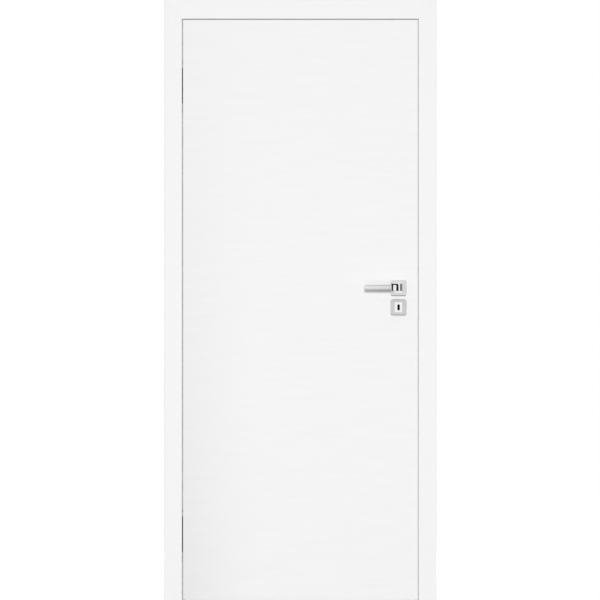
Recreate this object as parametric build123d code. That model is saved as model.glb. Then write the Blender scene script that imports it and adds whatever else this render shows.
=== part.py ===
from build123d import *
import os

# Interior door set: a flush leaf on concealed hinges in a rebated frame, with a lever handle and a lock.
# Millimetres. X runs across the door from the hinges to the lock, Y away from the viewer, Z up.
# The origin is at the foot of the hinge-side front casing, in the middle of the face that bears on the wall.

# Leaf
LEAF_WIDTH = 822.0
LEAF_HEIGHT = 2030.0
LEAF_THICKNESS = 40.0
SKIN_THICKNESS = 3.0
LEAF_EDGE = 1.0
HINGE_STILE_WIDTH = 60.0
LOCK_STILE_WIDTH = 110.0
TOP_RAIL_HEIGHT = 60.0
BOTTOM_RAIL_HEIGHT = 100.0

# Gaps round the closed leaf
FLOOR_GAP = 8.0
HINGE_GAP = 3.5
LOCK_GAP = 2.5
HEAD_GAP = 3.4
SEAL_SPACE = 3.0
SEAL_CLEARANCE = 0.5

# Frame
WALL_THICKNESS = 100.0
JAMB_THICKNESS = 36.0
JAMB_REAR_SETBACK = 6.0
JAMB_ARRIS = 3.0
STOP_STEP = 13.0
STOP_EDGE = 1.5
CASING_THICKNESS = 12.0
CASING_LET_IN = 3.0
CASING_EDGE = 1.0
SIDE_CASING_WIDTH = 62.0
HEAD_CASING_WIDTH = 66.0
REAR_CASING_SETBACK = 4.0
TONGUE_THICKNESS = 6.0
TONGUE_LENGTH = 28.0
GROOVE_DEPTH = 30.0
GROOVE_PLAY = 0.4

# Seal
SEAL_STEM_WIDTH = 3.0
SEAL_STEM_DEPTH = 6.0
SEAL_LIP_WIDTH = 8.0
SEAL_STEM_OFFSET = 7.0

# Concealed hinges
HINGE_END_DISTANCE = 230.0
HINGE_PLATE_HEIGHT = 200.0
HINGE_PLATE_THICKNESS = 3.0
HINGE_PLATE_CORNER_RADIUS = 12.0
HINGE_BODY_HEIGHT = 150.0
HINGE_POCKET_HEIGHT = 144.0
HINGE_POCKET_DEPTH = 30.0
HINGE_POCKET_FRONT = 7.0
HINGE_POCKET_REAR = 34.0
HINGE_WALL = 2.0
SWING_AXIS_FORWARD = 6.0
ARM_PIN_ACROSS = 11.0
ARM_PIN_ALONG = 17.0
ARM_WIDTH = 5.2
ARM_ELBOW_ACROSS = 14.8
ARM_ELBOW_NEAR = 0.4
ARM_ELBOW_FAR = 18.2
ARM_FAR_RADIUS = 12.5
PIN_RADIUS = 2.0
PIN_PLAY = 0.05
WALL_PIN_EYE = 3.2
CENTRE_PIN_EYE = 4.0
FRAME_LINK_HEIGHT = 34.0
LEAF_LINK_HEIGHT = 52.0
LINK_SPACE = 1.0

# Handle, on the leaf's lock side
BACKSET = 68.0
SPINDLE_HEIGHT = 1100.0
SPINDLE_WIDTH = 8.0
SPINDLE_SOCKET = 34.0
ROSE_WIDTH = 56.0
ROSE_THICKNESS = 8.5
ROSE_CORNER_RADIUS = 7.0
ROSE_BEVEL_ACROSS = 4.0
ROSE_BEVEL_DEEP = 2.5
PANEL_WIDTH = 27.0
PANEL_HEIGHT = 36.0
PANEL_PROUD = 0.6
LEVER_PROJECTION = 58.0
LEVER_REACH = 119.5
GRIP_THICKNESS = 10.0
GRIP_HEIGHT = 24.0
GRIP_SET_BACK = 0.8
GRIP_EDGE_ACROSS = 4.0
GRIP_EDGE_DEEP = 2.5
GRIP_TIP_RADIUS = 5.0
ELBOW_THICKNESS = 12.0
ELBOW_HEIGHT = 30.0
ELBOW_LENGTH = 26.0
ELBOW_HEEL = 12.5
ELBOW_RADIUS = 9.0
ELBOW_EDGE = 1.0
NECK_RADIUS = 9.0
NECK_PLAY = 0.05
NECK_BACK_SPACE = 1.0
CHANNEL_LEFT = 24.0
CHANNEL_RIGHT = 2.5
CHANNEL_TOP = 13.5
CHANNEL_FOOT = 11.0
CHANNEL_SIDE_WIDTH = 5.0
CHANNEL_TOP_WIDTH = 4.0
CHANNEL_CORNER_RADIUS = 5.0
CHANNEL_FOOT_RADIUS = 2.4
CHANNEL_DEPTH = 4.0

# Lock and keyhole
KEYHOLE_DROP = 68.0
KEYHOLE_WIDTH = 7.5
KEYHOLE_HEIGHT = 20.5
KEY_CUT_WIDTH = 14.0
KEY_CUT_HEIGHT = 28.0
SPINDLE_CUT_WIDTH = 22.0
LOCK_CASE_THICKNESS = 16.0
LOCK_CASE_DEPTH = 90.0
LOCK_CASE_ABOVE = 45.0
LOCK_CASE_BELOW = 120.0
LEVER_PACK_THICKNESS = 4.0
FOLLOWER_RADIUS = 9.0
FACEPLATE_WIDTH = 20.0
FACEPLATE_HEIGHT = 205.0
FACEPLATE_THICKNESS = 3.0
BOLT_THICKNESS = 12.0
BOLT_LENGTH = 30.0
LATCH_HEIGHT = 30.0
LATCH_RISE = 12.0
DEAD_BOLT_HEIGHT = 34.0
DEAD_BOLT_DROP = 46.0

# Strike plate
STRIKE_WIDTH = 20.0
STRIKE_HEIGHT = 190.0
STRIKE_THICKNESS = 2.0
KEEP_DEPTH = 18.0
KEEP_MARGIN = 2.0

# Levels and planes worked out from the sizes above
MARGIN = 60.0
WALL_BEARING = SIDE_CASING_WIDTH - JAMB_THICKNESS
CASING_OUTER = -WALL_BEARING / 2
REBATE_FACE = CASING_OUTER + SIDE_CASING_WIDTH
JAMB_OUTER = REBATE_FACE - JAMB_THICKNESS
PASSAGE_FACE = REBATE_FACE + STOP_STEP
LEAF_HINGE_EDGE = REBATE_FACE + HINGE_GAP
LEAF_LOCK_EDGE = LEAF_HINGE_EDGE + LEAF_WIDTH
LOCK_REBATE_FACE = LEAF_LOCK_EDGE + LOCK_GAP
DOOR_CENTRE = (REBATE_FACE + LOCK_REBATE_FACE) / 2
SET_WIDTH = 2 * (DOOR_CENTRE - CASING_OUTER)

FRONT = -CASING_THICKNESS
LEAF_BACK = FRONT + LEAF_THICKNESS
LEAF_MIDDLE = FRONT + LEAF_THICKNESS / 2
STOP_FACE = LEAF_BACK + SEAL_SPACE
JAMB_REAR = WALL_THICKNESS - JAMB_REAR_SETBACK

LEAF_FOOT = FLOOR_GAP
LEAF_TOP = LEAF_FOOT + LEAF_HEIGHT
HEAD_FACE = LEAF_TOP + HEAD_GAP
JAMB_TOP = HEAD_FACE + JAMB_THICKNESS
SET_TOP = HEAD_FACE + HEAD_CASING_WIDTH
KEYHOLE_LEVEL = SPINDLE_HEIGHT - KEYHOLE_DROP
HINGE_LEVELS = {"upper": LEAF_TOP - HINGE_END_DISTANCE, "lower": LEAF_FOOT + HINGE_END_DISTANCE}

SPINDLE_X = LEAF_LOCK_EDGE - BACKSET
BOLTS = {
    "latch_bolt": (SPINDLE_HEIGHT + LATCH_RISE, LATCH_HEIGHT),
    "dead_bolt": (SPINDLE_HEIGHT - DEAD_BOLT_DROP, DEAD_BOLT_HEIGHT),
}
GAP_CENTRE = REBATE_FACE + HINGE_GAP / 2
SWING_AXIS = (GAP_CENTRE, FRONT - SWING_AXIS_FORWARD)
WALL_PIN = (SWING_AXIS[0] - ARM_PIN_ACROSS, SWING_AXIS[1] + ARM_PIN_ALONG)
CENTRE_PIN = (SWING_AXIS[0], SWING_AXIS[1] + 2 * ARM_PIN_ALONG)

# The head members use the outlines of the uprights, turned about the corner of the opening.
HEAD_PLANE = Plane(origin=(CASING_OUTER, 0, HEAD_FACE + REBATE_FACE), x_dir=(0, 0, -1), z_dir=(1, 0, 0))
MIRROR_DOOR = Plane.YZ.offset(DOOR_CENTRE)
MIRROR_GAP = Plane.YZ.offset(GAP_CENTRE)
MIRROR_LEAF = Plane.XZ.offset(-LEAF_MIDDLE)


# Shared forms


def block(x_range, y_range, z_range):
    """Straight-sided block between the given limits."""
    ranges = (x_range, y_range, z_range)
    size = [high - low for low, high in ranges]
    centre = [(high + low) / 2 for low, high in ranges]
    return Pos(*centre) * Box(*size)


def outline(points):
    """Flat face with straight sides."""
    return make_face(Polyline(*points, close=True))


def vertices_at(face, corners):
    """The face's vertices at the named corners."""
    return [face.vertices().sort_by_distance((x, y, 0))[0] for x, y in corners]


def hinge_side_of_mitre(outer, inner):
    """Space below the mitre line through an outer and an inner corner, on the hinge side."""
    slope = (inner[1] - outer[1]) / (inner[0] - outer[0])
    left = outer[0] - MARGIN
    right = inner[0] + MARGIN
    corners = [
        (left, -MARGIN),
        (right, -MARGIN),
        (right, outer[1] + slope * (right - outer[0])),
        (left, outer[1] + slope * (left - outer[0])),
    ]
    return extrude(Plane.XZ * outline(corners), amount=WALL_THICKNESS + MARGIN, both=True)


def upright_and_head(side_face, head_face, outer, inner, foot=0.0):
    """Hinge-side upright and head member of the frame, mitred together at the corner."""
    below = hinge_side_of_mitre(outer, inner)
    upright = extrude(Pos(0, 0, foot) * side_face, amount=SET_TOP - foot) & below
    head = extrude(HEAD_PLANE * head_face, amount=SET_WIDTH)
    head = head - below - mirror(below, about=MIRROR_DOOR)
    return upright, head


def through_leaf_tool(face):
    """Solid along Y from a face drawn as seen from the front, long enough to cut the whole leaf."""
    return extrude(Plane.XZ * face, amount=WALL_THICKNESS, both=True)


# Frame


def jamb_face():
    """Jamb board seen from above, with the arris next to the front casing taken off."""
    return outline(
        [
            (JAMB_OUTER + JAMB_ARRIS, -CASING_LET_IN),
            (REBATE_FACE, -CASING_LET_IN),
            (REBATE_FACE, JAMB_REAR),
            (JAMB_OUTER, JAMB_REAR),
            (JAMB_OUTER, 0),
        ]
    )


def stop_face():
    """Planted stop seen from above, with the seal's groove and the groove for the rear casing."""
    seal_left = REBATE_FACE + SEAL_STEM_OFFSET - SEAL_STEM_WIDTH / 2
    seal_right = seal_left + SEAL_STEM_WIDTH
    seal_bottom = STOP_FACE + SEAL_STEM_DEPTH
    groove_right = PASSAGE_FACE - REAR_CASING_SETBACK
    groove_left = groove_right - TONGUE_THICKNESS - GROOVE_PLAY
    groove_bottom = JAMB_REAR - GROOVE_DEPTH
    face = outline(
        [
            (REBATE_FACE, STOP_FACE),
            (seal_left, STOP_FACE),
            (seal_left, seal_bottom),
            (seal_right, seal_bottom),
            (seal_right, STOP_FACE),
            (PASSAGE_FACE, STOP_FACE),
            (PASSAGE_FACE, JAMB_REAR),
            (groove_right, JAMB_REAR),
            (groove_right, groove_bottom),
            (groove_left, groove_bottom),
            (groove_left, JAMB_REAR),
            (REBATE_FACE, JAMB_REAR),
        ]
    )
    return chamfer(vertices_at(face, [(PASSAGE_FACE, STOP_FACE), (PASSAGE_FACE, JAMB_REAR)]), STOP_EDGE)


def front_casing_face(width):
    """Front casing seen from above: a flat board, thinned where the jamb is let in."""
    outer = REBATE_FACE - width
    face = outline(
        [
            (outer, FRONT),
            (REBATE_FACE, FRONT),
            (REBATE_FACE, -CASING_LET_IN),
            (JAMB_OUTER, -CASING_LET_IN),
            (JAMB_OUTER, 0),
            (outer, 0),
        ]
    )
    return chamfer(vertices_at(face, [(outer, FRONT), (REBATE_FACE, FRONT)]), CASING_EDGE)


def rear_casing_face(width):
    """Rear casing seen from above: a flat board with a tongue that slides in the jamb."""
    outer = REBATE_FACE - width
    inner = PASSAGE_FACE - REAR_CASING_SETBACK
    back = WALL_THICKNESS + CASING_THICKNESS
    face = outline(
        [
            (outer, WALL_THICKNESS),
            (inner - TONGUE_THICKNESS, WALL_THICKNESS),
            (inner - TONGUE_THICKNESS, WALL_THICKNESS - TONGUE_LENGTH),
            (inner, WALL_THICKNESS - TONGUE_LENGTH),
            (inner, back),
            (outer, back),
        ]
    )
    return chamfer(vertices_at(face, [(outer, back), (inner, back)]), CASING_EDGE)


def seal_face():
    """Soft seal seen from above: a stem in the stop's groove and a rounded lip towards the leaf."""
    middle = REBATE_FACE + SEAL_STEM_OFFSET
    left = middle - SEAL_LIP_WIDTH / 2
    right = middle + SEAL_LIP_WIDTH / 2
    lip = make_face(
        ThreePointArc((left, STOP_FACE), (middle, LEAF_BACK + SEAL_CLEARANCE), (right, STOP_FACE))
        + Line((right, STOP_FACE), (left, STOP_FACE))
    )
    stem_middle = STOP_FACE + SEAL_STEM_DEPTH / 2
    return lip + Pos(middle, stem_middle) * Rectangle(SEAL_STEM_WIDTH, SEAL_STEM_DEPTH)


def make_inside_jamb(face, foot=0.0):
    """Upright and head of a member that follows the jambs' mitres: the jambs, the stops or the seals."""
    outer = (JAMB_OUTER, JAMB_TOP)
    inner = (REBATE_FACE, HEAD_FACE)
    return upright_and_head(face, face, outer, inner, foot)


def make_front_casings():
    """Front casings, mitred from corner to corner."""
    outer = (CASING_OUTER, SET_TOP)
    inner = (REBATE_FACE, HEAD_FACE)
    return upright_and_head(
        front_casing_face(SIDE_CASING_WIDTH), front_casing_face(HEAD_CASING_WIDTH), outer, inner
    )


def make_rear_casings():
    """Rear casings, mitred from corner to corner."""
    outer = (CASING_OUTER, SET_TOP)
    set_in = PASSAGE_FACE - REAR_CASING_SETBACK - REBATE_FACE
    inner = (REBATE_FACE + set_in, HEAD_FACE - set_in)
    return upright_and_head(
        rear_casing_face(SIDE_CASING_WIDTH), rear_casing_face(HEAD_CASING_WIDTH), outer, inner
    )


def strike_blank(x_from, depth, width, height, level):
    """Block let into the lock-side jamb, centred on the leaf's thickness."""
    return block(
        (x_from, x_from + depth),
        (LEAF_MIDDLE - width / 2, LEAF_MIDDLE + width / 2),
        (level - height / 2, level + height / 2),
    )


def make_strike_plate():
    """Strike plate with a hole for each bolt, and the recess in the jamb that takes plate and bolts."""
    level = SPINDLE_HEIGHT - (DEAD_BOLT_DROP - LATCH_RISE) / 2
    plate = strike_blank(LOCK_REBATE_FACE, STRIKE_THICKNESS, STRIKE_WIDTH, STRIKE_HEIGHT, level)
    recess = plate
    for bolt_level, bolt_height in BOLTS.values():
        keep_width = BOLT_THICKNESS + 2 * KEEP_MARGIN
        keep_height = bolt_height + 2 * KEEP_MARGIN
        keep = strike_blank(LOCK_REBATE_FACE, KEEP_DEPTH, keep_width, keep_height, bolt_level)
        plate = plate - keep
        recess = recess + keep
    return plate, recess


# Leaf


def make_leaf_skin():
    """Front skin of the leaf, with its outer edges taken off and the holes for the spindle and the key."""
    skin = block((LEAF_HINGE_EDGE, LEAF_LOCK_EDGE), (FRONT, FRONT + SKIN_THICKNESS), (LEAF_FOOT, LEAF_TOP))
    skin = chamfer(skin.faces().sort_by(Axis.Y)[0].edges(), LEAF_EDGE)
    return skin - handle_holes()


def handle_holes():
    """Holes through the leaf for the spindle and for the key."""
    spindle_hole = Pos(SPINDLE_X, SPINDLE_HEIGHT) * Rectangle(SPINDLE_CUT_WIDTH, SPINDLE_CUT_WIDTH)
    return through_leaf_tool(spindle_hole) + key_cut()


def key_cut():
    """Cut for the key behind the keyhole plates."""
    return through_leaf_tool(Pos(SPINDLE_X, KEYHOLE_LEVEL) * Rectangle(KEY_CUT_WIDTH, KEY_CUT_HEIGHT))


def inside_leaf(x_range, z_range):
    """Board between the two skins."""
    return block(x_range, (FRONT + SKIN_THICKNESS, LEAF_BACK - SKIN_THICKNESS), z_range)


def make_leaf_boards():
    """Stiles, rails and core of the leaf, by name."""
    core_left = LEAF_HINGE_EDGE + HINGE_STILE_WIDTH
    core_right = LEAF_LOCK_EDGE - LOCK_STILE_WIDTH
    core_foot = LEAF_FOOT + BOTTOM_RAIL_HEIGHT
    core_top = LEAF_TOP - TOP_RAIL_HEIGHT
    full = (LEAF_FOOT, LEAF_TOP)
    return {
        "leaf_stile_hinge_side": inside_leaf((LEAF_HINGE_EDGE, core_left), full),
        "leaf_stile_lock_side": inside_leaf((core_right, LEAF_LOCK_EDGE), full) - handle_holes(),
        "leaf_rail_top": inside_leaf((core_left, core_right), (core_top, LEAF_TOP)),
        "leaf_rail_bottom": inside_leaf((core_left, core_right), (LEAF_FOOT, core_foot)),
        "leaf_core": inside_leaf((core_left, core_right), (core_foot, core_top)),
    }


# Lock


def make_bolt(level, height):
    """Bolt drawn back flush with the leaf's edge."""
    return block(
        (LEAF_LOCK_EDGE - BOLT_LENGTH, LEAF_LOCK_EDGE),
        (LEAF_MIDDLE - BOLT_THICKNESS / 2, LEAF_MIDDLE + BOLT_THICKNESS / 2),
        (level - height / 2, level + height / 2),
    )


def lock_faceplate_blank():
    """Faceplate let into the leaf's edge."""
    level = SPINDLE_HEIGHT + (LOCK_CASE_ABOVE - LOCK_CASE_BELOW) / 2
    return block(
        (LEAF_LOCK_EDGE - FACEPLATE_THICKNESS, LEAF_LOCK_EDGE),
        (LEAF_MIDDLE - FACEPLATE_WIDTH / 2, LEAF_MIDDLE + FACEPLATE_WIDTH / 2),
        (level - FACEPLATE_HEIGHT / 2, level + FACEPLATE_HEIGHT / 2),
    )


def lock_case_blank(thickness):
    """Outer form of the lock's case, from its front face to a depth."""
    right = LEAF_LOCK_EDGE - FACEPLATE_THICKNESS
    front = LEAF_MIDDLE - LOCK_CASE_THICKNESS / 2
    return block(
        (right - LOCK_CASE_DEPTH, right),
        (front, front + thickness),
        (SPINDLE_HEIGHT - LOCK_CASE_BELOW, SPINDLE_HEIGHT + LOCK_CASE_ABOVE),
    )


def keyhole_face():
    """Keyhole seen from the front."""
    return Pos(SPINDLE_X, KEYHOLE_LEVEL) * Rot(0, 0, 90) * SlotOverall(KEYHOLE_HEIGHT, KEYHOLE_WIDTH)


def make_lock_case_half(bolts):
    """Front half of the lock's case, with its follower hole and a key slot stopped by the levers inside."""
    follower_hole = through_leaf_tool(Pos(SPINDLE_X, SPINDLE_HEIGHT) * Circle(FOLLOWER_RADIUS))
    lever_pack = block(
        (SPINDLE_X - KEY_CUT_WIDTH, SPINDLE_X + KEY_CUT_WIDTH),
        (LEAF_MIDDLE - LEVER_PACK_THICKNESS / 2, LEAF_MIDDLE + LEVER_PACK_THICKNESS / 2),
        (KEYHOLE_LEVEL - KEY_CUT_HEIGHT, KEYHOLE_LEVEL + KEY_CUT_HEIGHT),
    )
    half = lock_case_blank(LOCK_CASE_THICKNESS / 2) - follower_hole - (key_cut() - lever_pack)
    for bolt in bolts.values():
        half = half - bolt
    return half


# Handle


def handle_plate(level):
    """Square plate of the handle or the keyhole, with a bevelled border and a raised panel."""
    face = RectangleRounded(ROSE_WIDTH, ROSE_WIDTH, ROSE_CORNER_RADIUS)
    plate = extrude(Plane.XZ.offset(-FRONT) * Pos(SPINDLE_X, level) * face, amount=ROSE_THICKNESS)
    border = plate.faces().sort_by(Axis.Y)[0]
    plate = chamfer(border.edges(), ROSE_BEVEL_DEEP, ROSE_BEVEL_ACROSS, reference=border)
    panel = Rectangle(PANEL_WIDTH, PANEL_HEIGHT)
    return plate + extrude(
        Plane.XZ.offset(-FRONT) * Pos(SPINDLE_X, level) * panel, amount=ROSE_THICKNESS + PANEL_PROUD
    )


def make_rose():
    """Rose with the hole that the lever's neck turns in."""
    neck_hole = through_leaf_tool(Pos(SPINDLE_X, SPINDLE_HEIGHT) * Circle(NECK_RADIUS + NECK_PLAY))
    return handle_plate(SPINDLE_HEIGHT) - neck_hole


def make_escutcheon():
    """Keyhole plate."""
    return handle_plate(KEYHOLE_LEVEL) - through_leaf_tool(keyhole_face())


def lever_bar(x_range, y_from, thickness, height):
    """Upright flat bar, centred on the spindle's level, between two distances from the spindle."""
    left, right = x_range
    return block(
        (SPINDLE_X + left, SPINDLE_X + right),
        (y_from, y_from + thickness),
        (SPINDLE_HEIGHT - height / 2, SPINDLE_HEIGHT + height / 2),
    )


def spindle_tool():
    """Square bar on the spindle's line."""
    side = LEVER_PROJECTION - SPINDLE_SOCKET / 2
    return block(
        (SPINDLE_X - SPINDLE_WIDTH / 2, SPINDLE_X + SPINDLE_WIDTH / 2),
        (FRONT - side, LEAF_BACK + side),
        (SPINDLE_HEIGHT - SPINDLE_WIDTH / 2, SPINDLE_HEIGHT + SPINDLE_WIDTH / 2),
    )


def make_spindle():
    """Square spindle with the round follower that turns in the lock."""
    follower = Cylinder(FOLLOWER_RADIUS - PIN_PLAY, LOCK_CASE_THICKNESS)
    return spindle_tool() + Pos(SPINDLE_X, LEAF_MIDDLE, SPINDLE_HEIGHT) * Rot(90, 0, 0) * follower


def channel_face():
    """Channel in the elbow's face seen from the front: an arch round a raised tenon."""
    left = -CHANNEL_LEFT
    right = -CHANNEL_RIGHT
    tenon_left = left + CHANNEL_SIDE_WIDTH
    tenon_right = right - CHANNEL_SIDE_WIDTH
    tenon_top = CHANNEL_TOP - CHANNEL_TOP_WIDTH
    face = outline(
        [
            (left, -CHANNEL_FOOT),
            (left, CHANNEL_TOP),
            (right, CHANNEL_TOP),
            (right, -CHANNEL_FOOT),
            (tenon_right, -CHANNEL_FOOT),
            (tenon_right, tenon_top),
            (tenon_left, tenon_top),
            (tenon_left, -CHANNEL_FOOT),
        ]
    )
    face = fillet(vertices_at(face, [(right, CHANNEL_TOP)]), CHANNEL_CORNER_RADIUS)
    feet = [(x, -CHANNEL_FOOT) for x in (left, tenon_left, tenon_right, right)]
    return Pos(SPINDLE_X, SPINDLE_HEIGHT) * fillet(vertices_at(face, feet), CHANNEL_FOOT_RADIUS)


def make_lever_elbow():
    """Elbow of the lever: round neck, rounded corner and the channel round a raised tenon."""
    face_front = FRONT - LEVER_PROJECTION
    bar = lever_bar((-ELBOW_LENGTH, ELBOW_HEEL), face_front, ELBOW_THICKNESS, ELBOW_HEIGHT)
    corner = bar.edges().filter_by(Axis.Z).sort_by(Axis.Y)[:2].sort_by(Axis.X)[-1]
    bar = fillet(corner, ELBOW_RADIUS)
    front = bar.faces().sort_by(Axis.Y)[0]
    bar = chamfer(front.edges().filter_by(Axis.X), ELBOW_EDGE)
    channel = Plane.XZ.offset(-face_front - CHANNEL_DEPTH) * channel_face()
    bar = bar - extrude(channel, amount=MARGIN)
    neck_length = LEVER_PROJECTION - ELBOW_THICKNESS - NECK_BACK_SPACE
    neck_middle = FRONT - NECK_BACK_SPACE - neck_length / 2
    neck = Pos(SPINDLE_X, neck_middle, SPINDLE_HEIGHT) * Rot(90, 0, 0) * Cylinder(NECK_RADIUS, neck_length)
    return bar + neck - spindle_tool()


def make_lever_grip():
    """Grip of the lever: a flat bar with bevelled front edges and a rounded tip."""
    grip_front = FRONT - LEVER_PROJECTION + GRIP_SET_BACK
    grip = lever_bar((-LEVER_REACH, -ELBOW_LENGTH), grip_front, GRIP_THICKNESS, GRIP_HEIGHT)
    front = grip.faces().sort_by(Axis.Y)[0]
    long_edges = front.edges().filter_by(Axis.X)
    grip = chamfer(long_edges, GRIP_EDGE_DEEP, GRIP_EDGE_ACROSS, reference=front)
    tip = grip.faces().sort_by(Axis.X)[0]
    return fillet(tip.edges().filter_by(Axis.Y), GRIP_TIP_RADIUS)


# Concealed hinges


def hinge_block(depth, height, wall, level):
    """Block let into the jamb's rebate face behind the hinge pocket's opening, with a wall all round."""
    return block(
        (REBATE_FACE - depth, REBATE_FACE),
        (FRONT + HINGE_POCKET_FRONT - wall, FRONT + HINGE_POCKET_REAR + wall),
        (level - height / 2, level + height / 2),
    )


def hinge_blank(level):
    """Outer form of the hinge housing in the jamb: a face plate and the body behind it."""
    width = HINGE_POCKET_REAR - HINGE_POCKET_FRONT + 2 * HINGE_WALL
    middle = FRONT + (HINGE_POCKET_FRONT + HINGE_POCKET_REAR) / 2
    face = RectangleRounded(width, HINGE_PLATE_HEIGHT, HINGE_PLATE_CORNER_RADIUS)
    plate_back = Plane.YZ.offset(REBATE_FACE - HINGE_PLATE_THICKNESS)
    plate = extrude(plate_back * Pos(middle, level) * face, amount=HINGE_PLATE_THICKNESS)
    return plate + hinge_block(HINGE_POCKET_DEPTH + HINGE_WALL, HINGE_BODY_HEIGHT, HINGE_WALL, level)


def make_hinge_housing(level):
    """Frame half of a hinge: an open pocket with the fixed pin of the curved arm."""
    pocket = hinge_block(HINGE_POCKET_DEPTH, HINGE_POCKET_HEIGHT, 0, level)
    pin_length = (HINGE_POCKET_HEIGHT + HINGE_BODY_HEIGHT) / 2
    pin = Pos(*WALL_PIN, level) * Cylinder(PIN_RADIUS, pin_length)
    return hinge_blank(level) - pocket + pin


def link_face():
    """Curved link of the frame's arm seen from above, from the wall pin round to the centre pin."""
    x, y = WALL_PIN
    near_corner = (x - ARM_ELBOW_ACROSS, y + ARM_ELBOW_NEAR)
    far_corner = (x - ARM_ELBOW_ACROSS, y + ARM_ELBOW_FAR)
    bend = FilletPolyline(near_corner, far_corner, CENTRE_PIN, radius=ARM_FAR_RADIUS)
    path = Line(WALL_PIN, near_corner) + bend
    band = make_face(offset(path, amount=ARM_WIDTH / 2, side=Side.BOTH, kind=Kind.INTERSECTION))
    eyes = Pos(*WALL_PIN) * Circle(WALL_PIN_EYE) + Pos(*CENTRE_PIN) * Circle(CENTRE_PIN_EYE)
    hole = Pos(*WALL_PIN) * Circle(PIN_RADIUS + PIN_PLAY)
    return band + eyes - hole


def make_frame_arm(level):
    """Two links, above and below the leaf's link, joined by the centre pin."""
    face = link_face()
    inner_end = LEAF_LINK_HEIGHT / 2 + LINK_SPACE
    outer_end = inner_end + FRAME_LINK_HEIGHT
    upper = extrude(Pos(0, 0, level + inner_end) * face, amount=FRAME_LINK_HEIGHT)
    lower = extrude(Pos(0, 0, level - outer_end) * face, amount=FRAME_LINK_HEIGHT)
    return Pos(*CENTRE_PIN, level) * Cylinder(PIN_RADIUS, 2 * inner_end) + upper + lower


def make_leaf_arm(level):
    """Mirrored link that turns on the centre pin and on the leaf's own pin."""
    face = mirror(link_face(), about=MIRROR_GAP) - Pos(*CENTRE_PIN) * Circle(PIN_RADIUS + PIN_PLAY)
    return extrude(Pos(0, 0, level - LEAF_LINK_HEIGHT / 2) * face, amount=LEAF_LINK_HEIGHT)


# Assembly


def make_frame():
    """Nodes that stay on the wall."""
    jamb_side, jamb_head = make_inside_jamb(jamb_face())
    stop_side, stop_head = make_inside_jamb(stop_face())
    front_side, front_head = make_front_casings()
    rear_side, rear_head = make_rear_casings()
    seal_side, seal_head = make_inside_jamb(seal_face(), foot=LEAF_FOOT)
    strike_plate, strike_recess = make_strike_plate()
    hinge_recess = hinge_blank(HINGE_LEVELS["upper"]) + hinge_blank(HINGE_LEVELS["lower"])
    nodes = {
        "jamb_hinge_side": jamb_side - hinge_recess,
        "jamb_lock_side": mirror(jamb_side, about=MIRROR_DOOR) - strike_recess,
        "jamb_head": jamb_head,
        "stop_hinge_side": stop_side,
        "stop_lock_side": mirror(stop_side, about=MIRROR_DOOR),
        "stop_head": stop_head,
        "casing_front_hinge_side": front_side - hinge_recess,
        "casing_front_lock_side": mirror(front_side, about=MIRROR_DOOR),
        "casing_front_head": front_head,
        "casing_rear_hinge_side": rear_side,
        "casing_rear_lock_side": mirror(rear_side, about=MIRROR_DOOR),
        "casing_rear_head": rear_head,
        "seal_hinge_side": seal_side,
        "seal_lock_side": mirror(seal_side, about=MIRROR_DOOR),
        "seal_head": seal_head,
        "strike_plate": strike_plate,
    }
    for place, level in HINGE_LEVELS.items():
        nodes[f"hinge_{place}_frame_housing"] = make_hinge_housing(level)
    return nodes


def make_leaf():
    """Nodes that swing with the leaf."""
    skin = make_leaf_skin()
    nodes = {"leaf_front_skin": skin, "leaf_back_skin": mirror(skin, about=MIRROR_LEAF)}
    boards = make_leaf_boards()
    bolts = {name: make_bolt(level, height) for name, (level, height) in BOLTS.items()}
    faceplate = lock_faceplate_blank()
    lock_pocket = lock_case_blank(LOCK_CASE_THICKNESS)
    boards["leaf_stile_lock_side"] = boards["leaf_stile_lock_side"] - lock_pocket - faceplate
    for bolt in bolts.values():
        faceplate = faceplate - bolt
    for place, level in HINGE_LEVELS.items():
        blank = mirror(hinge_blank(level), about=MIRROR_GAP)
        boards["leaf_stile_hinge_side"] = boards["leaf_stile_hinge_side"] - blank
        nodes[f"hinge_{place}_leaf_housing"] = mirror(make_hinge_housing(level), about=MIRROR_GAP)
    nodes.update(boards)
    nodes.update(bolts)
    nodes["lock_faceplate"] = faceplate
    pairs = {"lock_case": make_lock_case_half(bolts), "rose": make_rose(), "escutcheon": make_escutcheon()}
    for name, solid in pairs.items():
        nodes[f"{name}_front"] = solid
        nodes[f"{name}_rear"] = mirror(solid, about=MIRROR_LEAF)
    return nodes


def make_handle():
    """Nodes that turn with the spindle."""
    elbow = make_lever_elbow()
    grip = make_lever_grip()
    return {
        "lever_elbow_front": elbow,
        "lever_grip_front": grip,
        "lever_elbow_rear": mirror(elbow, about=MIRROR_LEAF),
        "lever_grip_rear": mirror(grip, about=MIRROR_LEAF),
        "spindle": make_spindle(),
    }


def make_hinge_arms():
    """Curved arms of both hinges."""
    nodes = {}
    for place, level in HINGE_LEVELS.items():
        nodes[f"hinge_{place}_frame_arm"] = make_frame_arm(level)
        nodes[f"hinge_{place}_leaf_arm"] = make_leaf_arm(level)
    return nodes


def main():
    """Build every node and write it to its own file."""
    os.makedirs("parts", exist_ok=True)
    nodes = {**make_frame(), **make_leaf(), **make_handle(), **make_hinge_arms()}
    for name, solid in nodes.items():
        export_step(solid, f"parts/{name}.step")


main()
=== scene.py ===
import math

import bmesh
import bpy
from mathutils import Matrix, Vector


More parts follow.
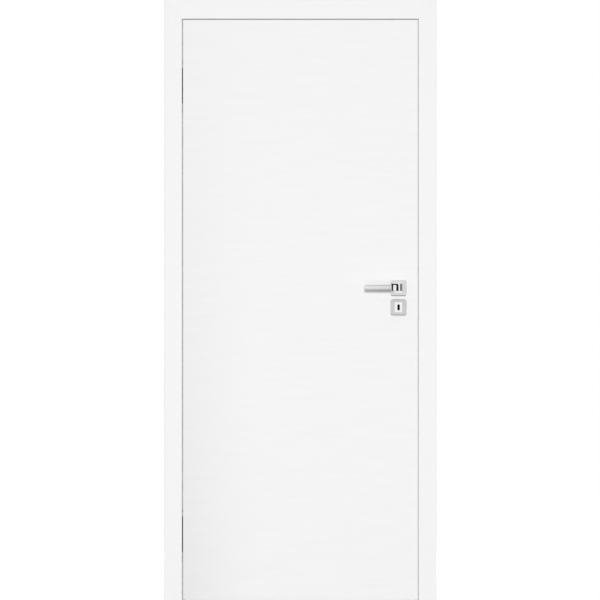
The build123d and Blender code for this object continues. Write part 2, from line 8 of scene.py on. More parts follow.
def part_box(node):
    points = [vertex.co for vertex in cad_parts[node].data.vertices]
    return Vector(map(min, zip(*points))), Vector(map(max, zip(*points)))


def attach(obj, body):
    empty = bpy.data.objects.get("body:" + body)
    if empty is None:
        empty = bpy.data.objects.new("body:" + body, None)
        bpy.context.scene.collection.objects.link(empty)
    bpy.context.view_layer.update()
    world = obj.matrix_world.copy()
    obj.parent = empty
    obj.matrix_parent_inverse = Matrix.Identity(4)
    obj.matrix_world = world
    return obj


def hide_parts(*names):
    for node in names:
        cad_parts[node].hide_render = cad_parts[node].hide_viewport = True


# White flush door set seen square on. Metres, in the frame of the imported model.

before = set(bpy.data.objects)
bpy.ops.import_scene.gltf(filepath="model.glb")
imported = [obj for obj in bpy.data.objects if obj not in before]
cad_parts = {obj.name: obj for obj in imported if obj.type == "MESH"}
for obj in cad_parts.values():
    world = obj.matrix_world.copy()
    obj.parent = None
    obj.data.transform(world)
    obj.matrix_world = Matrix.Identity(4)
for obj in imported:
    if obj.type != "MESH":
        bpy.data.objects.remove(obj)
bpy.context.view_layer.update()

MM = 0.001

# Framing of the photograph: what it takes in at the leaf's face, seen from far away
FRAME_HEIGHT = 2099.4 * MM
FRAME_FOOT = 8.0 * MM
CAMERA_DISTANCE = 40.0
CAMERA_REACH = 200.0
CAMERA_SHIFT_LEFT = 0.9 * MM
SENSOR = 36.0

# Surroundings: what they give as light, and what the camera and reflections see
WORLD_LIGHT = 0.45
WHITE = (1.0, 1.0, 1.0)
FLOOR_REACH = 8.0
FLOOR_TONE = 0.3
FLOOR_GLOW = 0.8
FLOOR_SHINE = 0.2

# Lamps: where they stand, width and height of the lamp itself, and watts
AIM_HEIGHT = 1.05
FRONT_DISTANCE = 18.0
FRONT_RIGHT = 0.35
KEY_HEIGHT = 3.15
KEY_SIZE = (0.8, 1.8)
KEY_POWER = 1270.0
FRONT_FILL_HEIGHT = 1.9
FRONT_FILL_SIZE = (0.8, 0.8)
FRONT_FILL_POWER = 650.0
LOW_FILL_DISTANCE = 3.0
LOW_FILL_HEIGHT = 0.2
LOW_FILL_SIZE = (1.6, 0.6)
LOW_FILL_POWER = 12.0
BACK_LEFT = 1.5
BACK_DISTANCE = 8.0
BACK_HEIGHT = 3.4
BACK_SIZE = (1.5, 1.5)
BACK_POWER = 300.0

# Cards that only reflections see, with their tones
SIDE_CARD_RIGHT = 2.5
SIDE_CARD_DEPTH = (-4.6, 3.0)
SIDE_CARD_HEIGHT = (0.4, 3.4)
SIDE_CARD_TONE = 0.2
UPPER_CARD_DEPTH = -6.0
UPPER_CARD_ACROSS = (-5.0, 6.0)
UPPER_CARD_HEIGHT = (3.0, 5.6)
UPPER_CARD_TONE = 0.3

# Places read from the frame
casing_low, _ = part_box("casing_front_hinge_side")
_, casing_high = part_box("casing_front_lock_side")
leaf_low, leaf_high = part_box("leaf_front_skin")
_, leaf_back_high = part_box("leaf_back_skin")
rose_low, rose_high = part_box("rose_front")
escutcheon_low, escutcheon_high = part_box("escutcheon_front")
elbow_low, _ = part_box("lever_elbow_front")
jamb_low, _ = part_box("jamb_hinge_side")
_, jamb_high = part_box("jamb_lock_side")
_, jamb_head_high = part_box("jamb_head")
_, stop_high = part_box("stop_head")
DOOR_CENTRE = (casing_low.x + casing_high.x) / 2
FRONT = leaf_low.y
LEAF_MIDDLE = (leaf_low.y + leaf_back_high.y) / 2
SPINDLE_X = (rose_low.x + rose_high.x) / 2
SPINDLE_Z = (rose_low.z + rose_high.z) / 2
KEYHOLE_Z = (escutcheon_low.z + escutcheon_high.z) / 2

# Sizes as modelled in the frame
SIDE_CASING_WIDTH = 62.0 * MM
HEAD_CASING_WIDTH = 66.0 * MM
CASING_LET_IN = 3.0 * MM
WALL_THICKNESS = 100.0 * MM
PANEL_HALF = (13.5 * MM, 18.0 * MM)
PANEL_PROUD = 0.6 * MM
KEY_SLOT_HALF = (7.0 * MM, 14.0 * MM)
TOUCH = 0.2 * MM

# Painted soft shade on the leaf's hinge side, mixed into the lacquer's colour
SHADE_TOP = 0.018
SHADE_FOOT = 0.085
SHADE_WIDTH = 270.0 * MM
SHADE_CURVE = 1.5

# Lever elbow, from the spindle's line: X to the right, Z up, Y from the leaf's face
ELBOW_X = (-26.0 * MM, 12.5 * MM)
ELBOW_Y = (-58.0 * MM, -46.0 * MM)
ELBOW_Z = (-10.6 * MM, 15.4 * MM)
ELBOW_SLOPE = (7.0 * MM, 5.0 * MM)
ELBOW_CORNERS = (5.0 * MM, 1.8 * MM)
ELBOW_EDGE = 1.4 * MM
ELBOW_EDGE_STEPS = 3
ELBOW_FOOT_EDGE = 0.4 * MM
ELBOW_FOOT_STEPS = 2
ROUND = 0.5
CHANNEL_X = (-25.4 * MM, -0.2 * MM)
CHANNEL_Z = (-13.0 * MM, 14.3 * MM)
CHANNEL_DEPTH = 4.0 * MM
LEFT_LEG = (-24.6 * MM, -18.8 * MM)
TENON_RIGHT = -7.8 * MM
BAR_WIDTH = 4.2 * MM
CHANNEL_CORNER = 5.0 * MM
CHANNEL_INNER_CORNER = 2.0 * MM
CHANNEL_FOOT_CORNER = 2.4 * MM
NECK_RADIUS = 9.0 * MM
NECK_IN_ELBOW = 1.0 * MM
NECK_IN_ROSE = 1.2 * MM
GROOVE_FROM_ROSE = 3.0 * MM
GROOVE_HALF_MOUTH = 1.0 * MM
GROOVE_HALF_FLOOR = 0.6 * MM
GROOVE_DEPTH = 0.4 * MM
ARC_STEPS = 10
CIRCLE_STEPS = 32

# Lever grip: upper and lower profile, as depth behind its front and distance from its middle
GRIP_X = (-119.5 * MM, -26.0 * MM)
GRIP_FRONT = -57.2 * MM
GRIP_MIDDLE = 0.3 * MM
GRIP_UPPER = (
    (0.0, 2.0 * MM), (0.15 * MM, 6.2 * MM), (0.85 * MM, 9.3 * MM), (2.3 * MM, 11.7 * MM),
    (3.2 * MM, 12.0 * MM), (8.9 * MM, 12.0 * MM), (9.7 * MM, 11.6 * MM), (10.0 * MM, 10.8 * MM),
)
GRIP_LOWER = (
    (0.0, 5.6 * MM), (0.3 * MM, 7.6 * MM), (2.3 * MM, 11.6 * MM),
    (3.2 * MM, 12.0 * MM), (8.9 * MM, 12.0 * MM), (9.7 * MM, 11.6 * MM), (10.0 * MM, 10.8 * MM),
)
GRIP_TIP_CORNER = 5.0 * MM
GRIP_TIP_TURNS = (0.0, 12.0, 30.0, 50.0, 70.0, 90.0)
GRIP_TIP_SLIM = 0.9

# Keyhole liner
KEYHOLE_HALF = (3.7 * MM, 10.2 * MM)
LINER_HALF = (4.3 * MM, 10.8 * MM)
LINER_SHIFT = 0.6 * MM
LINER_PROUD = 0.15 * MM
LINER_DEPTH = 8.0 * MM
LINER_STEPS = 12

# Turns between two faces above which the edge between them stays sharp
SMOOTH_ANGLE = math.radians(28.0)
CRISP_ANGLE = math.radians(12.0)

# Screws
SCREW_RADIUS = 4.2 * MM
SCREW_HEIGHT = 0.7 * MM
ADJUSTER_RADIUS = 3.4 * MM
GRUB_RADIUS = 2.0 * MM
RECESS_DEPTH = 0.5 * MM
GRUB_FROM_LEAF = 30.0 * MM
GRUB_SINK = 0.4 * MM
SCREW_PROFILE = ((1.0, 0.0), (1.0, 0.35), (0.93, 0.7), (0.8, 0.9), (0.68, 1.0))
CROSS_ARM = 0.62
CROSS_HALF_WIDTH = 0.13
SOCKET_WIDTH = 0.6
HINGE_SCREW_LEVEL = 89.0 * MM
HINGE_SCREW_ACROSS = 8.0 * MM
HINGE_ADJUSTER_LEVEL = 80.0 * MM
PLATE_SCREW_INSET = 9.0 * MM

# Tones
LACQUER_WHITE = (0.9, 0.9, 0.9)
LIPPING_WHITE = (0.88, 0.88, 0.875)
RUBBER_WHITE = (0.8, 0.8, 0.79)
RAW_BROWN = (0.42, 0.31, 0.2)
RAW_PALE = (0.6, 0.47, 0.32)
NICKEL = (0.74, 0.74, 0.735)
GRIP_NICKEL = (0.95, 0.95, 0.945)
PALE_NICKEL = (0.93, 0.93, 0.925)
DULL_NICKEL = (0.8, 0.8, 0.795)
PANEL_BRIGHT = (0.9, 0.9, 0.91)
CHROME = (0.86, 0.86, 0.86)
STEEL = (0.5, 0.5, 0.49)
CAST = (0.42, 0.42, 0.42)
CHANNEL_BLACK = (0.012, 0.012, 0.013)
# Painted shade inside the keyholes
KEYHOLE_BLACK = (0.002, 0.002, 0.002)
KEYHOLE_DARK = (0.005, 0.005, 0.005)
BLACK = (0.0, 0.0, 0.0)
SEAM_TONE = 0.6
METAL_CLOUD = 0.94
DUSTY = 0.9
LEAF_GRAIN = 0.02
FRAME_GRAIN = 0.006
LIPPING_GRAIN = 0.01
# Painted shade along the grip, deepest at the elbow
GRIP_FADE = 0.13
# Painted shade on the plates' sloping borders, deeper along their foot
BEVEL_TONE = 0.84
BEVEL_FOOT_TONE = 0.52
BEVEL_FOOT = 25.0 * MM

# Roughness, from and to
LACQUER_ROUGH = (0.42, 0.5)
RAW_ROUGH = (0.8, 0.95)
RAW_FACE_ROUGH = 0.9
SATIN_ROUGH = (0.3, 0.38)
SATIN_PART_ROUGH = (0.3, 0.4)
GRIP_ROUGH = (0.25, 0.32)
CHROME_ROUGH = (0.08, 0.12)
STEEL_ROUGH = (0.4, 0.55)
CAST_ROUGH = (0.42, 0.5)
SCREW_ROUGH = (0.2, 0.3)
PANEL_ROUGH = 0.14
CHANNEL_ROUGH = 0.55
LINING_ROUGH = (0.5, 0.65)
RUBBER_ROUGH = (0.6, 0.8)

# Shine of what isn't metal
LACQUER_SHINE = 0.4
CHANNEL_SHINE = 0.15
LINING_SHINE = 0.05

# Noises: scale, stretch, detail and roughness
EVEN = (1.0, 1.0, 1.0)
STREAKS = (5.0, (1.0, 1.0, 16.0), 6.0, 0.6)
ORANGE_PEEL = (260.0, EVEN, 2.0)
RAW_SPECKLE = (700.0, EVEN, 6.0, 0.7)
BOARD_SPECKLE = (500.0, EVEN, 6.0, 0.7)
LINING_CLOUD = (900.0, EVEN)
DUST = (300.0, EVEN)
FINE_BRUSH = (350.0, (1.0, 1.0, 10.0), 5.0, 0.6)
POLISH = (90.0, EVEN, 5.0, 0.6)
SPANGLE = (120.0, EVEN, 5.0, 0.6)

# Stretches of a noise over which a value runs from one end to the other
NOISE_SPAN = (0.3, 0.7)
STREAK_SPAN = (0.35, 0.65)
RAW_SPAN = (0.35, 0.7)

# Relief: strength, depth and the radius that edges seem to have
LACQUER_RELIEF = (0.15, 0.03 * MM, 0.6 * MM)
BOARD_RELIEF = (0.25, 0.2 * MM)
LINING_RELIEF = (0.1, 0.02 * MM)
RUBBER_RELIEF = (0.1, 0.05 * MM)
METAL_RELIEF_DEPTH = 0.02 * MM
METAL_EDGE = 0.5 * MM
BRUSH_STRENGTH = 0.08
POLISH_STRENGTH = 0.01
SPANGLE_STRENGTH = 0.06

# Sockets of the mixing node for colours and for numbers: two inputs and the output
COLOUR_SOCKETS = (6, 7, 2)
NUMBER_SOCKETS = (2, 3, 0)


# Node helpers


def new_material(name):
    """Empty node material with one shader on its output."""
    material = bpy.data.materials.new(name)
    material.use_nodes = True
    nodes = material.node_tree.nodes
    nodes.clear()
    output = nodes.new("ShaderNodeOutputMaterial")
    shader = nodes.new("ShaderNodeBsdfPrincipled")
    material.node_tree.links.new(shader.outputs["BSDF"], output.inputs["Surface"])
    return material, shader


def feed(material, value, slot):
    """Put a number, a colour or another node's output in an input socket."""
    if isinstance(value, (int, float)):
        slot.default_value = value
    elif isinstance(value, tuple):
        slot.default_value = (*value, 1.0)
    else:
        material.node_tree.links.new(value, slot)


def math_node(material, operation, *values):
    """Result of a calculation on sockets and numbers."""
    node = material.node_tree.nodes.new("ShaderNodeMath")
    node.operation = operation
    for slot, value in zip(node.inputs, values):
        feed(material, value, slot)
    return node.outputs[0]


def object_axes(material):
    """The object's own X, Y and Z, which are the model's at rest."""
    nodes = material.node_tree.nodes
    place = nodes.new("ShaderNodeTexCoord")
    split = nodes.new("ShaderNodeSeparateXYZ")
    feed(material, place.outputs["Object"], split.inputs[0])
    return split.outputs[0], split.outputs[1], split.outputs[2]


def within(material, axis, low, high):
    """One where the axis lies between two limits."""
    return math_node(material, "COMPARE", axis, (low + high) / 2, (high - low) / 2)


def near(material, axis, value):
    """One where the axis is at a value, as on a face square to it."""
    return within(material, axis, value - TOUCH, value + TOUCH)


def all_of(material, *masks):
    """One where every mask is one."""
    result = masks[0]
    for mask in masks[1:]:
        result = math_node(material, "MULTIPLY", result, mask)
    return result


def any_of(material, *masks):
    """One where any mask is one."""
    result = masks[0]
    for mask in masks[1:]:
        result = math_node(material, "MAXIMUM", result, mask)
    return result


def object_noise(material, scale, stretch, detail=4.0, roughness=0.55):
    """Noise in the object's own coordinates, stretched along an axis."""
    nodes = material.node_tree.nodes
    place = nodes.new("ShaderNodeTexCoord")
    mapping = nodes.new("ShaderNodeMapping")
    mapping.inputs["Scale"].default_value = stretch
    noise = nodes.new("ShaderNodeTexNoise")
    noise.inputs["Scale"].default_value = scale
    noise.inputs["Detail"].default_value = detail
    noise.inputs["Roughness"].default_value = roughness
    feed(material, place.outputs["Object"], mapping.inputs["Vector"])
    feed(material, mapping.outputs["Vector"], noise.inputs["Vector"])
    return noise.outputs["Fac"]


def colour_range(material, source, low, high, colour_low, colour_high):
    """Colour that runs from one value to another as the source goes from low to high."""
    node = material.node_tree.nodes.new("ShaderNodeValToRGB")
    node.color_ramp.elements[0].position = low
    node.color_ramp.elements[0].color = (*colour_low, 1.0)
    node.color_ramp.elements[1].position = high
    node.color_ramp.elements[1].color = (*colour_high, 1.0)
    feed(material, source, node.inputs["Fac"])
    return node.outputs["Color"]


def number_range(material, source, low, high, to_low, to_high):
    """Number that runs from one value to another as the source goes from low to high."""
    node = material.node_tree.nodes.new("ShaderNodeMapRange")
    node.inputs["From Min"].default_value = low
    node.inputs["From Max"].default_value = high
    node.inputs["To Min"].default_value = to_low
    node.inputs["To Max"].default_value = to_high
    feed(material, source, node.inputs["Value"])
    return node.outputs["Result"]


def mix_colour(material, mask, outside, inside):
    """Colour that changes where the mask is one."""
    first, second, result = COLOUR_SOCKETS
    node = material.node_tree.nodes.new("ShaderNodeMix")
    node.data_type = "RGBA"
    feed(material, mask, node.inputs["Factor"])
    feed(material, outside, node.inputs[first])
    feed(material, inside, node.inputs[second])
    return node.outputs[result]


def mix_number(material, mask, outside, inside):
    """Number that changes where the mask is one."""
    first, second, result = NUMBER_SOCKETS
    node = material.node_tree.nodes.new("ShaderNodeMix")
    node.data_type = "FLOAT"
    feed(material, mask, node.inputs["Factor"])
    feed(material, outside, node.inputs[first])
    feed(material, inside, node.inputs[second])
    return node.outputs[result]


def relief(material, shader, source, strength, distance, edge_radius=0.0):
    """Relief from a height source, over edges that look slightly rounded."""
    nodes = material.node_tree.nodes
    node = nodes.new("ShaderNodeBump")
    node.inputs["Strength"].default_value = strength
    node.inputs["Distance"].default_value = distance
    feed(material, source, node.inputs["Height"])
    if edge_radius:
        rounded = nodes.new("ShaderNodeBevel")
        rounded.inputs["Radius"].default_value = edge_radius
        feed(material, rounded.outputs["Normal"], node.inputs["Normal"])
    feed(material, node.outputs["Normal"], shader.inputs["Normal"])


def scaled(colour, factor):
    """Colour made lighter or darker."""
    return tuple(channel * factor for channel in colour)


# Where finishes change


def jamb_raw(material):
    """Faces of the jambs against the wall and the floor."""
    x, _, z = object_axes(material)
    return any_of(
        material,
        near(material, x, jamb_low.x),
        near(material, x, jamb_high.x),
        near(material, z, jamb_head_high.z),
        near(material, z, 0.0),
    )


def casing_raw(material):
    """Faces of the casings on wall, jambs and floor, and the tongues in their grooves."""
    _, y, z = object_axes(material)
    return any_of(
        material,
        near(material, y, 0.0),
        near(material, y, -CASING_LET_IN),
        near(material, y, WALL_THICKNESS),
        within(material, y, WALL_THICKNESS / 2, stop_high.y),
        near(material, z, 0.0),
    )


def casing_mitre(material):
    """Hairline where two front casings meet at the corner."""
    x, _, z = object_axes(material)
    opening_half = DOOR_CENTRE - casing_low.x - SIDE_CASING_WIDTH
    across = math_node(material, "ABSOLUTE", math_node(material, "SUBTRACT", x, DOOR_CENTRE))
    run = math_node(material, "SUBTRACT", across, opening_half)
    run = math_node(material, "MULTIPLY", run, HEAD_CASING_WIDTH / SIDE_CASING_WIDTH)
    rise = math_node(material, "SUBTRACT", z, casing_high.z - HEAD_CASING_WIDTH)
    return near(material, math_node(material, "SUBTRACT", run, rise), 0.0)


def board_faces(material):
    """Faces of the leaf's inner boards, apart from the lipped outer edges."""
    x, _, z = object_axes(material)
    lipping = any_of(
        material,
        near(material, x, leaf_low.x),
        near(material, x, leaf_high.x),
        near(material, z, leaf_high.z),
    )
    return math_node(material, "SUBTRACT", 1.0, lipping)


def hinge_side_painted_shade(material):
    """Painted soft shade that fades away from the leaf's hinge edge and grows towards the floor."""
    x, _, z = object_axes(material)
    away = number_range(material, x, leaf_low.x, leaf_low.x + SHADE_WIDTH, 1.0, 0.0)
    drop = number_range(material, z, leaf_low.z, leaf_high.z, 1.0, 0.0)
    drop = math_node(material, "POWER", drop, SHADE_CURVE)
    away = math_node(material, "POWER", away, SHADE_CURVE)
    depth = math_node(material, "MULTIPLY", drop, SHADE_FOOT)
    depth = math_node(material, "ADD", depth, SHADE_TOP)
    return math_node(material, "MULTIPLY", away, depth)


def from_leaf_middle(material, y):
    """Distance from the leaf's middle plane, the same on both sides of the leaf."""
    return math_node(material, "ABSOLUTE", math_node(material, "SUBTRACT", y, LEAF_MIDDLE))


def panel_mask(level):
    """Raised panel of the square plate at a level, front and rear."""

    def mask(material):
        x, y, z = object_axes(material)
        half_x, half_z = PANEL_HALF
        face = LEAF_MIDDLE - rose_low.y
        return all_of(
            material,
            within(material, x, SPINDLE_X - half_x - TOUCH, SPINDLE_X + half_x + TOUCH),
            within(material, z, level - half_z - TOUCH, level + half_z + TOUCH),
            within(material, from_leaf_middle(material, y), face - PANEL_PROUD + TOUCH, face + TOUCH),
        )

    return mask


def bevel_painted_shade(level):
    """Painted shade on the sloping border of a square plate at a level, deeper along its foot."""

    def painted_shade(material):
        _, y, z = object_axes(material)
        face = LEAF_MIDDLE - rose_low.y - PANEL_PROUD
        slope = within(material, from_leaf_middle(material, y), 0.0, face - TOUCH)
        foot = within(material, z, level - 2 * BEVEL_FOOT, level - BEVEL_FOOT)
        depth = mix_number(material, foot, 1.0 - BEVEL_TONE, 1.0 - BEVEL_FOOT_TONE)
        return math_node(material, "MULTIPLY", slope, depth)

    return painted_shade


def grip_painted_shade(material):
    """Painted shade that grows along the grip from its tip to the elbow."""
    x, _, _ = object_axes(material)
    tip, root = GRIP_X
    return number_range(material, x, SPINDLE_X + tip, SPINDLE_X + root, 0.0, GRIP_FADE)


def channel_mask(material):
    """Channel round the tenon of the elbow, front and rear."""
    x, y, z = object_axes(material)
    left, right = CHANNEL_X
    foot, top = CHANNEL_Z
    face = LEAF_MIDDLE - elbow_low.y
    return all_of(
        material,
        within(material, x, SPINDLE_X + left - TOUCH, SPINDLE_X + right + TOUCH),
        within(material, z, SPINDLE_Z + foot - TOUCH, SPINDLE_Z + top + TOUCH),
        within(material, from_leaf_middle(material, y), face - CHANNEL_DEPTH - TOUCH, face - TOUCH),
    )


def key_slot_mask(material):
    """Key slot of the lock, painted dark inside as painted shade."""
    x, _, z = object_axes(material)
    half_x, half_z = KEY_SLOT_HALF
    return all_of(
        material,
        within(material, x, SPINDLE_X - half_x - TOUCH, SPINDLE_X + half_x + TOUCH),
        within(material, z, KEYHOLE_Z - half_z - TOUCH, KEYHOLE_Z + half_z + TOUCH),
    )


# Materials


def raw_tone(material):
    """Colour of raw fibreboard: warm and speckled."""
    speckle = object_noise(material, *RAW_SPECKLE)
    return colour_range(material, speckle, *RAW_SPAN, RAW_BROWN, RAW_PALE)


def lacquer(name, tone, grain, raw_mask=None, seam=None, shade=None):
    """White lacquer with a faint grain across the door, and raw board on the faces it leaves bare."""
    material, shader = new_material(name)
    streaks = object_noise(material, *STREAKS)
    colour = colour_range(material, streaks, *STREAK_SPAN, scaled(tone, 1.0 - grain), tone)
    rough = number_range(material, streaks, *NOISE_SPAN, *LACQUER_ROUGH)
    # Painted shade: the shade mask darkens the lacquer towards black
    if shade:
        colour = mix_colour(material, shade(material), colour, BLACK)
    if seam:
        colour = mix_colour(material, seam(material), colour, scaled(tone, SEAM_TONE))
    if raw_mask:
        mask = raw_mask(material)
        colour = mix_colour(material, mask, colour, raw_tone(material))
        rough = mix_number(material, mask, rough, RAW_FACE_ROUGH)
    feed(material, colour, shader.inputs["Base Color"])
    feed(material, rough, shader.inputs["Roughness"])
    shader.inputs["Specular IOR Level"].default_value = LACQUER_SHINE
    relief(material, shader, object_noise(material, *ORANGE_PEEL), *LACQUER_RELIEF)
    return material


def raw_board(name):
    """Raw fibreboard: warm, speckled and matt."""
    material, shader = new_material(name)
    feed(material, raw_tone(material), shader.inputs["Base Color"])
    speckle = object_noise(material, *BOARD_SPECKLE)
    rough = number_range(material, speckle, *NOISE_SPAN, *RAW_ROUGH)
    feed(material, rough, shader.inputs["Roughness"])
    relief(material, shader, speckle, *BOARD_RELIEF)
    return material


def metal(name, tone, rough, grain, painted_shade=None, bright_mask=None, dark_mask=None):
    """Metal with a fine grain, with painted shade over a part, and a part that is polished or made
    dark and not metallic.
    """
    material, shader = new_material(name)
    noise, strength = grain
    brush = object_noise(material, *noise)
    colour = colour_range(material, brush, *NOISE_SPAN, scaled(tone, METAL_CLOUD), tone)
    roughness = number_range(material, brush, *NOISE_SPAN, *rough)
    metallic = 1.0
    # Painted shade, darkening the metal towards black
    if painted_shade:
        colour = mix_colour(material, painted_shade(material), colour, BLACK)
    if bright_mask:
        mask = bright_mask(material)
        colour = mix_colour(material, mask, colour, PANEL_BRIGHT)
        roughness = mix_number(material, mask, roughness, PANEL_ROUGH)
    # Darkened part: painted shade in the lock's key slot, and the elbow's dark channel
    if dark_mask:
        mask = dark_mask(material)
        colour = mix_colour(material, mask, colour, CHANNEL_BLACK)
        roughness = mix_number(material, mask, roughness, CHANNEL_ROUGH)
        metallic = math_node(material, "SUBTRACT", 1.0, mask)
        shader.inputs["Specular IOR Level"].default_value = CHANNEL_SHINE
    feed(material, metallic, shader.inputs["Metallic"])
    feed(material, colour, shader.inputs["Base Color"])
    feed(material, roughness, shader.inputs["Roughness"])
    relief(material, shader, brush, strength, METAL_RELIEF_DEPTH, METAL_EDGE)
    return material


def keyhole_shade_lining(name):
    """Near-black lining, slightly uneven: painted shade inside a keyhole."""
    material, shader = new_material(name)
    cloud = object_noise(material, *LINING_CLOUD)
    tone = colour_range(material, cloud, *NOISE_SPAN, KEYHOLE_BLACK, KEYHOLE_DARK)
    rough = number_range(material, cloud, *NOISE_SPAN, *LINING_ROUGH)
    feed(material, tone, shader.inputs["Base Color"])
    feed(material, rough, shader.inputs["Roughness"])
    shader.inputs["Specular IOR Level"].default_value = LINING_SHINE
    relief(material, shader, cloud, *LINING_RELIEF)
    return material


def soft_rubber(name, tone):
    """Seal rubber with a dusty matt skin."""
    material, shader = new_material(name)
    dust = object_noise(material, *DUST)
    colour = colour_range(material, dust, *NOISE_SPAN, scaled(tone, DUSTY), tone)
    rough = number_range(material, dust, *NOISE_SPAN, *RUBBER_ROUGH)
    feed(material, colour, shader.inputs["Base Color"])
    feed(material, rough, shader.inputs["Roughness"])
    relief(material, shader, dust, *RUBBER_RELIEF)
    return material


def make_materials():
    """Every material of the door set, by name."""
    white = LACQUER_WHITE
    brushed = (FINE_BRUSH, BRUSH_STRENGTH)
    polished = (POLISH, POLISH_STRENGTH)
    spangled = (SPANGLE, SPANGLE_STRENGTH)
    rose_bevel_shade = bevel_painted_shade(SPINDLE_Z)
    rose_panel = panel_mask(SPINDLE_Z)
    keyplate_bevel_shade = bevel_painted_shade(KEYHOLE_Z)
    keyplate_panel = panel_mask(KEYHOLE_Z)
    return {
        "leaf_front": lacquer("leaf_lacquer", white, LEAF_GRAIN, shade=hinge_side_painted_shade),
        "leaf_back": lacquer("leaf_back_lacquer", white, LEAF_GRAIN),
        "jamb": lacquer("jamb_lacquer", white, FRAME_GRAIN, jamb_raw),
        "casing": lacquer("casing_lacquer", white, FRAME_GRAIN, casing_raw, casing_mitre),
        "stop": lacquer("stop_lacquer", white, FRAME_GRAIN),
        "edge": lacquer("edge_lipping", LIPPING_WHITE, LIPPING_GRAIN, board_faces),
        "board": raw_board("raw_board"),
        "rose": metal("rose_nickel", PALE_NICKEL, SATIN_ROUGH, brushed, rose_bevel_shade, rose_panel),
        "keyplate": metal(
            "keyplate_nickel", DULL_NICKEL, SATIN_ROUGH, brushed, keyplate_bevel_shade, keyplate_panel
        ),
        "grip": metal("grip_nickel", GRIP_NICKEL, GRIP_ROUGH, brushed, grip_painted_shade),
        "elbow": metal("elbow_chrome", CHROME, CHROME_ROUGH, polished, dark_mask=channel_mask),
        "satin": metal("satin_nickel", NICKEL, SATIN_PART_ROUGH, brushed),
        # Painted shade inside the lock's key slot
        "steel": metal("galvanised_steel", STEEL, STEEL_ROUGH, spangled, dark_mask=key_slot_mask),
        "cast": metal("cast_hinge", CAST, CAST_ROUGH, spangled),
        "screw": metal("screw_steel", CHROME, SCREW_ROUGH, polished),
        "keyhole_shade": keyhole_shade_lining("keyhole_painted_shade"),
        "rubber": soft_rubber("seal_rubber", RUBBER_WHITE),
    }


# Finish of each node, by the start of its name
NODE_FINISH = (
    ("jamb", "jamb"),
    ("stop", "stop"),
    ("casing", "casing"),
    ("seal", "rubber"),
    ("leaf_front_skin", "leaf_front"),
    ("leaf_back_skin", "leaf_back"),
    ("leaf_core", "board"),
    ("leaf", "edge"),
    ("lock_case", "steel"),
    ("spindle", "steel"),
    ("rose", "rose"),
    ("escutcheon", "keyplate"),
    ("hinge_upper_frame_arm", "cast"),
    ("hinge_lower_frame_arm", "cast"),
    ("hinge_upper_leaf_arm", "cast"),
    ("hinge_lower_leaf_arm", "cast"),
    ("", "satin"),
)


def dress_nodes(materials):
    """Give each node of the frame its material."""
    for name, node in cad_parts.items():
        finish = next(finish for start, finish in NODE_FINISH if name.startswith(start))
        node.data.materials.clear()
        node.data.materials.append(materials[finish])


# Screws


def cross_outline(radius):
    """Corners of a cross recess."""
    arm = radius * CROSS_ARM
    half = radius * CROSS_HALF_WIDTH
    quarter = [(arm, -half), (arm, half), (half, half)]
    points = []
    for turn in range(4):
        angle = math.radians(90.0) * turn
        cosine = math.cos(angle)
        sine = math.sin(angle)
        for x, y in quarter:
            points.append((x * cosine - y * sine, x * sine + y * cosine))
    return points


def hexagon_outline(radius):
    """Corners of a hexagon socket."""
    socket = radius * SOCKET_WIDTH
    angles = [math.radians(60.0) * turn for turn in range(6)]
    return [(socket * math.cos(angle), socket * math.sin(angle)) for angle in angles]


def ring(mesh, points, level):
    """Loop of vertices at a height, with the edges between them."""
    verts = [mesh.verts.new((x, y, level)) for x, y in points]
    edges = [mesh.edges.new((verts[i - 1], verts[i])) for i in range(len(verts))]
    return verts, edges


def bridge(mesh, first, second):
    """Faces between two loops of the same count."""
    for i in range(len(first)):
        mesh.faces.new((first[i - 1], first[i], second[i], second[i - 1]))


def add_screw(target, place, outward, radius, socket):
    """Low domed screw head with a recess, standing on a face that looks outward."""
    mesh = bmesh.new()
    circle = []
    for step in range(CIRCLE_STEPS):
        angle = 2 * math.pi * step / CIRCLE_STEPS
        circle.append((math.cos(angle), math.sin(angle)))
    loops = []
    for width, level in SCREW_PROFILE:
        points = [(x * radius * width, y * radius * width) for x, y in circle]
        loops.append(ring(mesh, points, level * SCREW_HEIGHT))
    for below, above in zip(loops, loops[1:]):
        bridge(mesh, below[0], above[0])
    outline = socket(radius)
    rim, rim_edges = ring(mesh, outline, SCREW_HEIGHT)
    floor, _ = ring(mesh, outline, SCREW_HEIGHT - RECESS_DEPTH)
    bridge(mesh, rim, floor)
    mesh.faces.new(floor)
    bmesh.ops.triangle_fill(mesh, edges=loops[-1][1] + rim_edges, use_beauty=True)
    bmesh.ops.recalc_face_normals(mesh, faces=mesh.faces)
    turn = Vector((0.0, 0.0, 1.0)).rotation_difference(Vector(outward)).to_matrix().to_4x4()
    bmesh.ops.transform(mesh, matrix=Matrix.Translation(place) @ turn, verts=mesh.verts)
    piece = bpy.data.meshes.new("screw_part")
    mesh.to_mesh(piece)
    mesh.free()
    target.from_mesh(piece)
    bpy.data.meshes.remove(piece)


def hinge_plate_screws(mesh, node, face_x, outward):
    """Four fixing screws and two adjusters on a hinge's face plate."""
    low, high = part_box(node)
    middle = (low.y + high.y) / 2
    level = (low.z + high.z) / 2
    for end in (-1, 1):
        for side in (-1, 1):
            across = middle + side * HINGE_SCREW_ACROSS
            place = Vector((face_x, across, level + end * HINGE_SCREW_LEVEL))
            add_screw(mesh, place, outward, SCREW_RADIUS, cross_outline)
        place = Vector((face_x, middle, level + end * HINGE_ADJUSTER_LEVEL))
        add_screw(mesh, place, outward, ADJUSTER_RADIUS, hexagon_outline)


def edge_plate_screws(mesh, node, face_x, outward):
    """Fixing screws near both ends of a narrow plate."""
    low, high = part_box(node)
    middle = (low.y + high.y) / 2
    for level in (low.z + PLATE_SCREW_INSET, high.z - PLATE_SCREW_INSET):
        add_screw(mesh, Vector((face_x, middle, level)), outward, SCREW_RADIUS, cross_outline)


